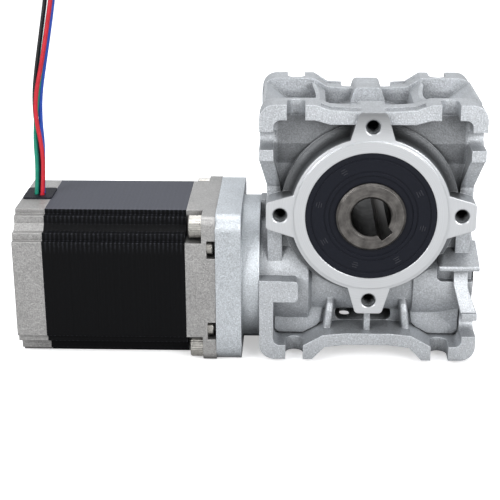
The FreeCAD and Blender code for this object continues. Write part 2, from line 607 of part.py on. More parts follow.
def wheel_rim():
    """Bronze worm wheel rim: throated, with slanted tooth spaces that clear the thread."""
    half = RIM_WIDTH / 2
    rim = ring_y(RIM_OUTER_R, RIM_INNER_R, -half, half)
    rim = rim.cut(Part.makeTorus(CENTRE_DISTANCE, WORM_ROOT_R + 0.4, V(0, 0, 0), Y_AXIS))
    floor_r = CENTRE_DISTANCE - WORM_TIP_R - 0.4
    outer_r = RIM_OUTER_R + 0.6
    floor_half = 1.45 - (WHEEL_PITCH_R - floor_r) * math.tan(PRESSURE_ANGLE)
    outer_half = 1.45 + (outer_r - WHEEL_PITCH_R) * math.tan(PRESSURE_ANGLE)
    profile = [(-floor_half, -floor_r), (floor_half, -floor_r), (outer_half, -outer_r),
               (-outer_half, -outer_r)]
    gap = prism_y(profile, -half - 3, half + 3)
    gap.rotate(V(0, 0, 0), Z_AXIS, math.degrees(LEAD_ANGLE))
    gaps = [turned_y(gap, 360.0 * i / WHEEL_TEETH) for i in range(WHEEL_TEETH)]
    return rim.cut(Part.makeCompound(gaps))


def worm_thread():
    """Right-handed single-start thread, built along Z and laid on the worm axis."""
    length = PITCH * THREAD_TURNS
    sunk_r = WORM_ROOT_R - 0.4
    root_half = 0.95 + (WORM_PITCH_R - sunk_r) * math.tan(PRESSURE_ANGLE)
    tip_half = 0.95 - MODULE * math.tan(PRESSURE_ANGLE)
    helix = Part.makeHelix(PITCH, length, WORM_PITCH_R)
    profile = Part.makePolygon([V(sunk_r, 0, -root_half), V(WORM_TIP_R, 0, -tip_half),
                                V(WORM_TIP_R, 0, tip_half), V(sunk_r, 0, root_half),
                                V(sunk_r, 0, -root_half)])
    thread = Part.Wire(helix.Edges).makePipeShell([profile], True, True)
    thread.rotate(V(0, 0, 0), V(1, 1, 1), 120)
    thread.translate(V(-length / 2, 0, WORM_Z))
    return thread


def worm_shaft():
    """Hollow-ended worm: input hub, bearing seats, thread and rear journal."""
    core = fuse([cyl_x(8.5, WORM_INPUT_X, -39), cyl_x(10, -40.5, -23), cyl_x(11.6, -23, -20.5),
                 cone_x(11.6, WORM_ROOT_R, -20.5, -17.5), cyl_x(WORM_ROOT_R, -18, 18),
                 cone_x(WORM_ROOT_R, 7.5, 17, 19), cyl_x(7.5, 19, 22), cyl_x(6, 22, 33.2)])
    worm = core.fuse(worm_thread())
    worm = worm.cut(cyl_x(WORM_BORE_R, WORM_INPUT_X - 1, -22))
    return worm.cut(box(WORM_INPUT_X - 1, -1.5, WORM_Z, -33, 1.5, WORM_Z + 5.6))


def input_key():
    """Parallel key between the motor shaft and the worm."""
    key = box(-50.5, -1.5, WORM_Z + 2.5, -36.5, 1.5, WORM_Z + 5.5)
    return fillet_along(key, Z_AXIS, 1.45)


# ---------------------------------------------------------------- adapter flange

def input_flange():
    """Square adapter plate with a round neck between motor and gear case."""
    plate = box(MOTOR_FACE, -ADAPTER_HALF, WORM_Z - ADAPTER_HALF,
                ADAPTER_FRONT, ADAPTER_HALF, WORM_Z + ADAPTER_HALF)
    plate = fillet_along(plate, X_AXIS, 6)
    flange = fuse([plate, cyl_x(27.4, ADAPTER_FRONT - 1, HOUSING_LEFT),
                   cyl_x(18.5, HOUSING_LEFT - 1, -39.4)])
    flange = flange.cut(cyl_x(19.1, MOTOR_FACE - 1, MOTOR_FACE + 1.9)).cut(cyl_x(12.0, -60, -38))
    for turn in (0, 90, 180, 270):
        flange = flange.cut(turned_x(cyl_x(TAP_R, -57, -39, z=WORM_Z + FLANGE_SCREW_R), turn))
        flange = flange.cut(turned_x(cyl_x(4.4, -57, -48.6, z=WORM_Z + FLANGE_SCREW_R), turn))
        flange = flange.cut(turned_x(cyl_x(TAP_R, -57, ADAPTER_FRONT + 1, y=MOUNT_PITCH,
                                           z=WORM_Z + MOUNT_PITCH), turn))
    return flange


def flange_screws():
    """Four cap screws, sunk in the adapter, that hold it to the gear case."""
    screw = cap_screw(TAP_R, 20, 4.25, 4.9, V(-48.6, 0, WORM_Z + FLANGE_SCREW_R), X_AXIS)
    return Part.makeCompound([turned_x(screw, turn) for turn in (0, 90, 180, 270)])


# ---------------------------------------------------------------- motor

def motor_outline(x0, x1, notch):
    """Square motor section whose four corners are cut by the given notch points."""
    square = [(-MOTOR_HALF, WORM_Z - MOTOR_HALF), (MOTOR_HALF, WORM_Z - MOTOR_HALF),
              (MOTOR_HALF, WORM_Z + MOTOR_HALF), (-MOTOR_HALF, WORM_Z + MOTOR_HALF)]
    body = prism_x(square, x0, x1)
    cutter = prism_x([(y, WORM_Z + z) for y, z in notch], x0, x1)
    for turn in (0, 90, 180, 270):
        body = body.cut(turned_x(cutter, turn))
    return body


STEPPED_NOTCH = [(FLAT_HALF, 29), (FLAT_HALF, 26.3), (21.3, 26.3), (21.3, 23.4), (22.3, 22.3),
                 (23.4, 21.3), (26.3, 21.3), (26.3, FLAT_HALF), (29, FLAT_HALF), (29, 29)]
SQUARE_NOTCH = [(FLAT_HALF, 29), (FLAT_HALF, FLAT_HALF), (29, FLAT_HALF), (29, 29)]


def tie_places():
    """Centres of the four tie screws, as (y, z)."""
    return [(sy * TIE_Y, WORM_Z + sz * TIE_Z) for sy in (-1, 1) for sz in (-1, 1)]


def motor_front_bell():
    """Front end bell with the mounting plate, pilot and bearing seat."""
    bell = motor_outline(STACK_FRONT, PLATE_REAR, SQUARE_NOTCH)
    plate = box(PLATE_REAR, -MOTOR_HALF, WORM_Z - MOTOR_HALF, MOTOR_FACE, MOTOR_HALF, WORM_Z + MOTOR_HALF)
    plate = fillet_along(plate, X_AXIS, 3)
    bell = fuse([bell, plate, cyl_x(19.05, MOTOR_FACE - 1, MOTOR_FACE + 1.6)])
    bell = bell.cut(ring_x(24, 13.4, STACK_FRONT - 1, -62.5)).cut(cyl_x(13.4, STACK_FRONT - 1, -66))
    bell = bell.cut(cyl_x(11, STACK_FRONT - 1, -58.3)).cut(cyl_x(6, -60, -50))
    for y, z in tie_places():
        bell = bell.cut(cyl_x(1.5, -70, -55, y=y, z=z))
        edge = sorted([math.copysign(21.6, y), math.copysign(MOTOR_HALF + 1, y)])
        bell = bell.cut(box(-59.2, edge[0], z - 3.4, MOTOR_FACE + 1, edge[1], z + 3.4))
    for turn in (0, 90, 180, 270):
        bell = bell.cut(turned_x(cyl_x(TAP_R, -62, -55, y=MOUNT_PITCH, z=WORM_Z + MOUNT_PITCH), turn))
    return bell


def motor_rear_bell():
    """Rear end bell with the rear bearing seat and the lead outlet."""
    bell = motor_outline(MOTOR_REAR, STACK_REAR, STEPPED_NOTCH)
    bell = bell.cut(ring_x(24, 13.4, -127.5, STACK_REAR + 1)).cut(cyl_x(13.4, -121.5, STACK_REAR + 1))
    bell = bell.cut(cyl_x(11, -129.5, STACK_REAR + 1)).cut(cyl_x(9.4, -129.9, -129))
    bell = bell.cut(box(-127.2, -4.5, -8, -121.4, 4.5, 0))
    for y, z in tie_places():
        bell = bell.cut(cyl_x(1.5, -126, -119, y=y, z=z))
    return bell


def stator_stack():
    """Lamination stack with eight wound poles."""
    stack = motor_outline(STACK_REAR, STACK_FRONT, STEPPED_NOTCH)
    stack = stack.cut(cyl_x(STATOR_BORE_R, STACK_REAR, STACK_FRONT))
    window = [(-1.6, 12), (-1.6, 16.2), (-3.6, 17.4), (-6.4, 23.6), (6.4, 23.6), (3.6, 17.4), (1.6, 16.2),
              (1.6, 12)]
    slot = prism_x([(y, WORM_Z + z) for y, z in window], STACK_REAR, STACK_FRONT)
    for index in range(POLES):
        stack = stack.cut(turned_x(slot, 360.0 * (index + 0.5) / POLES))
    for y, z in tie_places():
        stack = stack.cut(cyl_x(1.6, STACK_REAR, STACK_FRONT, y=y, z=z))
    return stack


def stator_insulators():
    """Two moulded end insulators with one arm per pole."""
    pair = []
    for x0 in (STACK_REAR - 1.0, STACK_FRONT):
        plate = ring_x(23.9, 23.0, x0, x0 + 1.0)
        for index in range(POLES):
            arm = box(x0, -2.4, WORM_Z + 15.4, x0 + 1.0, 2.4, WORM_Z + 23.4)
            plate = plate.fuse(turned_x(arm, 360.0 * index / POLES))
        pair.append(plate.removeSplitter())
    return Part.makeCompound(pair)


def stator_windings():
    """Eight coils, each a closed loop around its pole."""
    outer = box(STACK_REAR - 3.4, -4.7, WORM_Z + 17.8, STACK_FRONT + 3.4, 4.7, WORM_Z + 22.4)
    outer = fillet_along(outer, Z_AXIS, 2.4)
    pole = box(STACK_REAR - 1.0, -3.4, WORM_Z + 17, STACK_FRONT + 1.0, 3.4, WORM_Z + 24)
    coil = outer.cut(pole)
    return Part.makeCompound([turned_x(coil, 360.0 * index / POLES) for index in range(POLES)])


def rotor_cup(x0, x1, phase):
    """Toothed rotor cup with fifty teeth."""
    teeth = 50
    points = []
    for index in range(teeth):
        for radius, share in ((ROTOR_R - 0.9, 0.0), (ROTOR_R - 0.9, 0.45), (ROTOR_R, 0.5), (ROTOR_R, 0.95)):
            angle = 2 * math.pi * (index + share + phase) / teeth
            points.append((radius * math.cos(angle), WORM_Z + radius * math.sin(angle)))
    return prism_x(points, x0, x1).cut(cyl_x(4, x0, x1))


def motor_shaft():
    """Rotor shaft with its keyed output end."""
    shaft = cyl_x(4, -129, -32)
    ends = [e for e in shaft.Edges if e.Closed]
    shaft = shaft.makeChamfer(0.4, ends)
    return shaft.cut(fillet_along(box(-50.5, -1.5, WORM_Z + 2.5, -36.5, 1.5, WORM_Z + 6), Z_AXIS, 1.45))


def wave_washer():
    """Preload washer behind the rear motor bearing."""
    return ring_x(10.7, 7.2, -129.5, -129.1)


def motor_tie_screws():
    """Four long screws that clamp the bells and the stack together."""
    screws = [cap_screw(1.5, 65, 2.7, 2.2, V(-59.2, y, z), V(-1, 0, 0)) for y, z in tie_places()]
    return Part.makeCompound(screws)


def motor_mount_screws():
    """Four cap screws from the motor's plate into the adapter."""
    seat = V(PLATE_REAR, MOUNT_PITCH, WORM_Z + MOUNT_PITCH)
    screw = cap_screw(TAP_R, 13.5, 4.2, 4.8, seat, X_AXIS)
    return Part.makeCompound([turned_x(screw, turn) for turn in (0, 90, 180, 270)])


def lead_board():
    """Printed board in the rear bell where the coil ends meet the leads."""
    return ring_x(23.4, 14.6, -125.6, -124.2)


def lead_grommet():
    """Rubber outlet plug with a flat cap on the motor's top face."""
    cap = fillet_along(box(-130.1, -6.5, -1.8, -119.2, 6.5, -1.2), Z_AXIS, 1.0)
    plug = box(-127.2, -4.5, -6.2, -121.4, 4.5, -1.8)
    grommet = cap.fuse(plug).removeSplitter()
    for route in LEAD_ROUTES.values():
        x, y, z = route[0]
        grommet = grommet.cut(Part.makeCylinder(LEAD_R + 0.15, 5, V(x, y, z - 0.3), Z_AXIS))
    return grommet


def arc_radius(before, corner, after):
    """Radius of the tangent arc at a corner of a lead's route."""
    first = corner - before
    second = after - corner
    shorter = min(first.Length, second.Length)
    half_turn = first.getAngle(second) / 2
    return 0.45 * shorter / math.tan(half_turn)


def lead(name):
    """One round wire along its route, with a tangent arc at each corner."""
    points = [V(*p) for p in LEAD_ROUTES[name]]
    edges = []
    radii = []
    start = points[0]
    for before, corner, after in zip(points, points[1:], points[2:]):
        first = (corner - before).normalize()
        second = (after - corner).normalize()
        radius = arc_radius(before, corner, after)
        radii.append(radius)
        half_turn = first.getAngle(second) / 2
        reach = radius * math.tan(half_turn)
        arc_in = corner - first * reach
        arc_out = corner + second * reach
        inward = (second - first).normalize()
        middle = corner + inward * (radius / math.cos(half_turn) - radius)
        edges.append(Part.makeLine(start, arc_in))
        edges.append(Part.Arc(arc_in, middle, arc_out).toShape())
        start = arc_out
    edges.append(Part.makeLine(start, points[-1]))
    path = Part.Wire(edges)
    direction = points[1] - points[0]
    section = Part.Wire([Part.makeCircle(LEAD_R, points[0], direction)])
    tube = path.makePipeShell([section], True, False)
    print(name, "length", round(path.Length, 1), "tightest arc", round(min(radii), 1),
          "volume share", round(tube.Volume / (math.pi * LEAD_R ** 2 * path.Length), 4))
    return tube


# ---------------------------------------------------------------- all nodes

def bearing_nodes(name, spec, place):
    """The three nodes of one ball bearing."""
    outer, inner, balls = bearing(spec, place)
    return {name + "_outer": outer, name + "_inner": inner, name + "_balls": balls}


def all_nodes():
    """Every sub-part by its name."""
    nodes = {"housing": housing(), "side_cover": side_cover(), "cover_o_ring": cover_o_ring(),
             "cover_screws": cover_screws(), "output_seal_front": output_seal(-1),
             "output_seal_rear": output_seal(1), "output_hub": output_hub(),
             "worm_wheel_rim": wheel_rim(), "worm_shaft": worm_shaft(), "worm_seal": worm_seal(),
             "worm_circlip_front": circlip(19.3, 16.9, -34.4, -33.2),
             "worm_circlip_rear": circlip(16.7, 14.6, 32.2, 33.4),
             "worm_end_cap": worm_end_cap(), "input_key": input_key(),
             "input_flange": input_flange(), "flange_screws": flange_screws(),
             "motor_front_bell": motor_front_bell(), "motor_rear_bell": motor_rear_bell(),
             "stator_stack": stator_stack(), "stator_insulators": stator_insulators(),
             "stator_windings": stator_windings(), "rotor_cup_rear": rotor_cup(-117.5, -95, 0.5),
             "rotor_magnet": ring_x(ROTOR_R - 0.6, 4, -95, -91.5),
             "rotor_cup_front": rotor_cup(-91.5, -69, 0.0), "motor_shaft": motor_shaft(),
             "wave_washer": wave_washer(), "motor_tie_screws": motor_tie_screws(),
             "motor_mount_screws": motor_mount_screws(), "lead_board": lead_board(),
             "lead_grommet": lead_grommet()}
    nodes.update(bearing_nodes("output_bearing_front", BEARING_6005, on_output(-OUT_BEARING_Y)))
    nodes.update(bearing_nodes("output_bearing_rear", BEARING_6005, on_output(OUT_BEARING_Y)))
    nodes.update(bearing_nodes("worm_bearing_front", BEARING_61904, on_worm(WORM_FRONT_BEARING_X)))
    nodes.update(bearing_nodes("worm_bearing_rear", BEARING_6201, on_worm(WORM_REAR_BEARING_X)))
    nodes.update(bearing_nodes("motor_bearing_front", BEARING_608, on_worm(-61.8)))
    nodes.update(bearing_nodes("motor_bearing_rear", BEARING_608, on_worm(-125.6)))
    for name in LEAD_ROUTES:
        nodes[name] = lead(name)
    return nodes


os.makedirs("parts", exist_ok=True)
for node_name, node_shape in all_nodes().items():
    if not node_shape.isValid():
        print("not valid:", node_name)
    print(node_name, len(node_shape.Solids), "solids", round(node_shape.Volume / 1000, 3), "cm3")
    node_shape.exportStep("parts/" + node_name + ".step")
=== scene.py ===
"""Looks of the worm gear reducer with its stepper motor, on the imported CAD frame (metres)."""
import json
import math

import bpy
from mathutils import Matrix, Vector


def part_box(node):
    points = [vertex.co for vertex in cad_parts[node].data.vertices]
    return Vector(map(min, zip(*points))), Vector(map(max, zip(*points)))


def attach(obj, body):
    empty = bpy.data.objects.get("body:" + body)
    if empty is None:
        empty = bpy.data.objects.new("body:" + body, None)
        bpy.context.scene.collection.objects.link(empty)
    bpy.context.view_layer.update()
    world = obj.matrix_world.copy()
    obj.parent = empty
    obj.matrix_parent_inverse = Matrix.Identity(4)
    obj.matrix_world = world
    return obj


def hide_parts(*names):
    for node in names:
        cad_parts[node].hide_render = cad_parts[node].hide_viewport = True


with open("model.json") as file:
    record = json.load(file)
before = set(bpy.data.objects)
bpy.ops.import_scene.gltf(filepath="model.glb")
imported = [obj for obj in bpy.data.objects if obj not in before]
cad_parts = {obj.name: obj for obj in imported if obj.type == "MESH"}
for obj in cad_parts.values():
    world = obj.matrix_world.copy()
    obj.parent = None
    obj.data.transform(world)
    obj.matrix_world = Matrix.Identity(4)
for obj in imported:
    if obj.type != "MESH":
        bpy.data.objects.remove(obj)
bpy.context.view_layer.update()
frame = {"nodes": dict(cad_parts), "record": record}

MM = 0.001

# Height of the worm and motor axis, in millimetres; the output axis is at zero
WORM_Z = -30.0


# ---------------------------------------------------------------- camera

SENSOR_WIDTH = 36.0
FOCAL_LENGTH = 90.12

# Place in millimetres; yaw, pitch and roll in degrees
CAMERA_PLACE = (-26.92, -455.04, 140.34)
CAMERA_ANGLES = (-2.195, 19.832, -0.252)


def make_camera():
    """Camera at its fitted place, turned by its fitted yaw, pitch and roll."""
    data = bpy.data.cameras.new("camera")
    data.sensor_width = SENSOR_WIDTH
    data.lens = FOCAL_LENGTH
    camera = bpy.data.objects.new("camera", data)
    bpy.context.scene.collection.objects.link(camera)
    yaw, pitch, roll = (math.radians(angle) for angle in CAMERA_ANGLES)
    forward = Vector((math.sin(yaw) * math.cos(pitch), math.cos(yaw) * math.cos(pitch), -math.sin(pitch)))
    level = Vector((math.cos(yaw), -math.sin(yaw), 0.0))
    upward = level.cross(forward)
    right = level * math.cos(roll) + upward * math.sin(roll)
    top = upward * math.cos(roll) - level * math.sin(roll)
    matrix = camera.matrix_world.copy()
    for row in range(3):
        matrix[row][0] = right[row]
        matrix[row][1] = top[row]
        matrix[row][2] = -forward[row]
        matrix[row][3] = CAMERA_PLACE[row] * MM
    camera.matrix_world = matrix
    bpy.context.scene.camera = camera


make_camera()


# ---------------------------------------------------------------- leads

LEAD_RADIUS = 0.8 * MM
CURVE_ORDER = 3
CURVE_STEPS = 12
BEVEL_STEPS = 6

# Points of each route in millimetres, from the outlet to the stripped end
LEAD_ROUTES = {
    "lead_red": [(-123.4, -2.7, -2.6), (-122.2, -2.7, 8), (-122.3, -2.7, 18), (-124.1, -2.7, 29),
                 (-123.4, -2.7, 38), (-120.7, -2.7, 48.5), (-117.9, -2.7, 62), (-114.8, -2.7, 78),
                 (-118.4, -2.7, 98), (-133.0, -2.7, 112), (-152.0, -2.7, 112), (-166.0, -2.7, 98),
                 (-170.5, -2.7, 72), (-171.5, -2.7, 40), (-169.0, -2.7, 4), (-169.5, -2.7, -28),
                 (-175.0, -2.7, -49), (-190.0, -2.7, -57.6), (-205.0, -3.1, -57.6)],
    "lead_green": [(-125.8, -1.5, -2.6), (-124.7, -1.4, 8), (-125.0, -1.2, 19), (-124.4, -0.9, 27),
                   (-123.3, -0.9, 36), (-121.1, -0.9, 48.5), (-118.3, -0.9, 62), (-115.2, -0.9, 78),
                   (-118.8, -0.9, 98), (-133.0, -0.9, 112), (-152.0, -0.9, 112), (-166.0, -0.9, 98),
                   (-170.5, -0.9, 72), (-171.5, -0.9, 40), (-169.0, -0.9, 4), (-169.5, -0.9, -28),
                   (-175.0, -0.9, -49), (-190.0, -0.9, -57.6), (-207.0, -0.9, -57.6)],
    "lead_black": [(-125.1, 1.2, -2.6), (-124.4, 1.3, 8), (-124.2, 1.3, 18), (-125.0, 1.1, 29),
                   (-124.7, 1.0, 38), (-123.0, 0.9, 48.5), (-120.4, 0.9, 62), (-117.5, 0.9, 78),
                   (-120.8, 0.9, 97), (-133.4, 0.9, 110.4), (-151.6, 0.9, 110.4), (-165.0, 0.9, 97),
                   (-169.2, 0.9, 72), (-170.2, 0.9, 40), (-167.7, 0.9, 4), (-168.2, 0.9, -28),
                   (-173.7, 0.9, -49), (-189.0, 0.9, -57.6), (-203.0, 0.9, -57.6)],
    "lead_blue": [(-123.5, -0.3, -2.6), (-122.9, -0.4, 8), (-122.3, -0.2, 18), (-122.9, 0.3, 27),
                  (-122.4, 0.6, 37), (-120.2, 0.9, 48.5), (-117.5, 0.9, 62), (-114.7, 1.2, 78),
                  (-117.2, 2.7, 98.4), (-132.4, 2.7, 113.4), (-152.6, 2.7, 113.4), (-167.2, 2.7, 98.6),
                  (-171.8, 2.7, 72), (-172.8, 2.7, 40), (-170.3, 2.7, 4), (-170.8, 2.7, -28),
                  (-176.3, 2.7, -49), (-191.0, 2.7, -57.6), (-206.0, 3.9, -57.6)],
}

# Tinned strands at the stripped ends, in millimetres; the spacing is in radii and the twist in turns
STRANDS = 7
STRAND_RADIUS = 0.17
STRAND_SPACING = 2.05
STRAND_STEPS = 10
STRAND_SIDES = 8
STRAND_TWIST = 0.6
TIP_LENGTH = 7.0
TIP_SUNK = 1.0


def new_piece(name, vertices, faces):
    """Mesh piece in millimetres that rides on the case."""
    mesh = bpy.data.meshes.new(name)
    mesh.from_pydata([[c * MM for c in vertex] for vertex in vertices], [], faces)
    mesh.update()
    piece = bpy.data.objects.new(name, mesh)
    bpy.context.scene.collection.objects.link(piece)
    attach(piece, "case")
    return piece


def tube_faces(start, rings, sides):
    """Quads of a tube of rings, and its two end caps."""
    faces = []
    for ring in range(rings - 1):
        for side in range(sides):
            following = (side + 1) % sides
            base = start + ring * sides
            faces.append((base + side, base + following, base + sides + following, base + sides + side))
    last = start + (rings - 1) * sides
    faces.append(tuple(range(start + sides - 1, start - 1, -1)))
    faces.append(tuple(range(last, last + sides)))
    return faces


def make_tip(name, route):
    """Tinned strands that stick out of the stripped end of a lead."""
    end = Vector(route[-1])
    along = (end - Vector(route[-2])).normalized()
    side = along.cross(Vector((0, 0, 1))).normalized()
    up = side.cross(along)
    vertices = []
    faces = []
    for strand in range(STRANDS):
        ring_radius = 0.0 if strand == 0 else STRAND_SPACING * STRAND_RADIUS
        start = len(vertices)
        for step in range(STRAND_STEPS):
            share = step / (STRAND_STEPS - 1)
            turn = 2 * math.pi * (strand / (STRANDS - 1) + STRAND_TWIST * share)
            centre = end + along * (TIP_LENGTH * share - TIP_SUNK)
            centre += (side * math.cos(turn) + up * math.sin(turn)) * ring_radius
            for corner in range(STRAND_SIDES):
                angle = 2 * math.pi * corner / STRAND_SIDES
                vertices.append(centre + (side * math.cos(angle) + up * math.sin(angle)) * STRAND_RADIUS)
        faces += tube_faces(start, STRAND_STEPS, STRAND_SIDES)
    return new_piece(name + "_tip", vertices, faces)


def make_lead(name, route):
    """One lead as a smooth bevelled curve on its route, and its tip."""
    curve = bpy.data.curves.new(name + "_wire", "CURVE")
    curve.dimensions = "3D"
    spline = curve.splines.new("NURBS")
    spline.points.add(len(route) - 1)
    for point, place in zip(spline.points, route):
        point.co = (place[0] * MM, place[1] * MM, place[2] * MM, 1.0)
        point.radius = LEAD_RADIUS
    spline.order_u = CURVE_ORDER
    spline.use_endpoint_u = True
    spline.resolution_u = CURVE_STEPS
    curve.bevel_depth = 1.0
    curve.bevel_resolution = BEVEL_STEPS
    curve.use_fill_caps = True
    wire = bpy.data.objects.new(name + "_wire", curve)
    bpy.context.scene.collection.objects.link(wire)
    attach(wire, "case")
    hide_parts(name)
    tip = make_tip(name, route)
    return wire, tip


leads = {name: make_lead(name, route) for name, route in LEAD_ROUTES.items()}


# ---------------------------------------------------------------- threads and seal marks

# Tapped holes of the output faces and their thread crests, in millimetres
TAP_CIRCLE = 32.5
TAP_RADIUS = 2.5
THREAD_CREST = 2.2
THREAD_PITCH = 1.0
THREAD_HALF_WIDTH = 0.36
THREAD_SUNK = 0.03
THREAD_TURNS = 9
THREAD_STEPS = 24
THREAD_START = 28.7

# Raised bars of the front seal: places in degrees, the rest in millimetres
SEAL_FACE = -30.2
MARK_ANGLES = (121, 27, -13, -59, 254, 210, 167)
MARK_ROWS = 3
MARK_RADIUS = 18.2
MARK_PITCH = 0.85
MARK_LENGTH = 2.3
MARK_SHORTER = 0.72
MARK_WIDTH = 0.36
MARK_HEIGHT = 0.12
MARK_SUNK = 0.05
MARK_TAPER = 0.05


def make_threads():
    """Screw thread crests inside the eight tapped holes of the two output faces."""
    wall = TAP_RADIUS + THREAD_SUNK
    profile = ((wall, THREAD_HALF_WIDTH), (THREAD_CREST, 0.0), (wall, -THREAD_HALF_WIDTH))
    rings = THREAD_TURNS * THREAD_STEPS + 1
    vertices = []
    faces = []
    for side in (-1, 1):
        for quarter in range(4):
            x = TAP_CIRCLE * math.cos(quarter * math.pi / 2)
            z = TAP_CIRCLE * math.sin(quarter * math.pi / 2)
            start = len(vertices)
            for step in range(rings):
                turn = 2 * math.pi * step / THREAD_STEPS
                depth = THREAD_START - THREAD_PITCH * step / THREAD_STEPS
                for radius, shift in profile:
                    vertices.append((x + radius * math.cos(turn), side * (depth + shift),
                                     z + radius * math.sin(turn)))
            faces += tube_faces(start, rings, len(profile))
    return new_piece("tap_threads", vertices, faces)


def make_seal_marks():
    """Groups of short raised bars around the front seal, in place of its moulded marks."""
    vertices = []
    faces = []
    for group, degrees in enumerate(MARK_ANGLES):
        middle = math.radians(degrees)
        tangent = (-math.sin(middle), math.cos(middle))
        outward = (math.cos(middle), math.sin(middle))
        for row in range(MARK_ROWS):
            radius = MARK_RADIUS + MARK_PITCH * row
            half = MARK_LENGTH * (1.0 if (group + row) % 2 else MARK_SHORTER) / 2
            start = len(vertices)
            for depth, grow in ((SEAL_FACE + MARK_SUNK, 0.0), (SEAL_FACE - MARK_HEIGHT, -MARK_TAPER)):
                for along, across in ((-1, -1), (1, -1), (1, 1), (-1, 1)):
                    t = along * (half + grow)
                    r = radius + across * (MARK_WIDTH / 2 + grow)
                    vertices.append((outward[0] * r + tangent[0] * t, depth,
                                     outward[1] * r + tangent[1] * t))
            faces += tube_faces(start, 2, 4)
    return new_piece("seal_marks", vertices, faces)


threads = make_threads()
seal_marks = make_seal_marks()


# ---------------------------------------------------------------- material tools

# Span that most values of a noise lie in, and roughness from one octave of a noise to the next
NOISE_SPAN = (0.3, 0.7)
NOISE_ROUGHNESS = 0.6

# Cosine between the rounded and the flat normal where an edge starts and where it is full
EDGE_COSINES = (0.985, 0.80)
SHADER_SAMPLES = 4


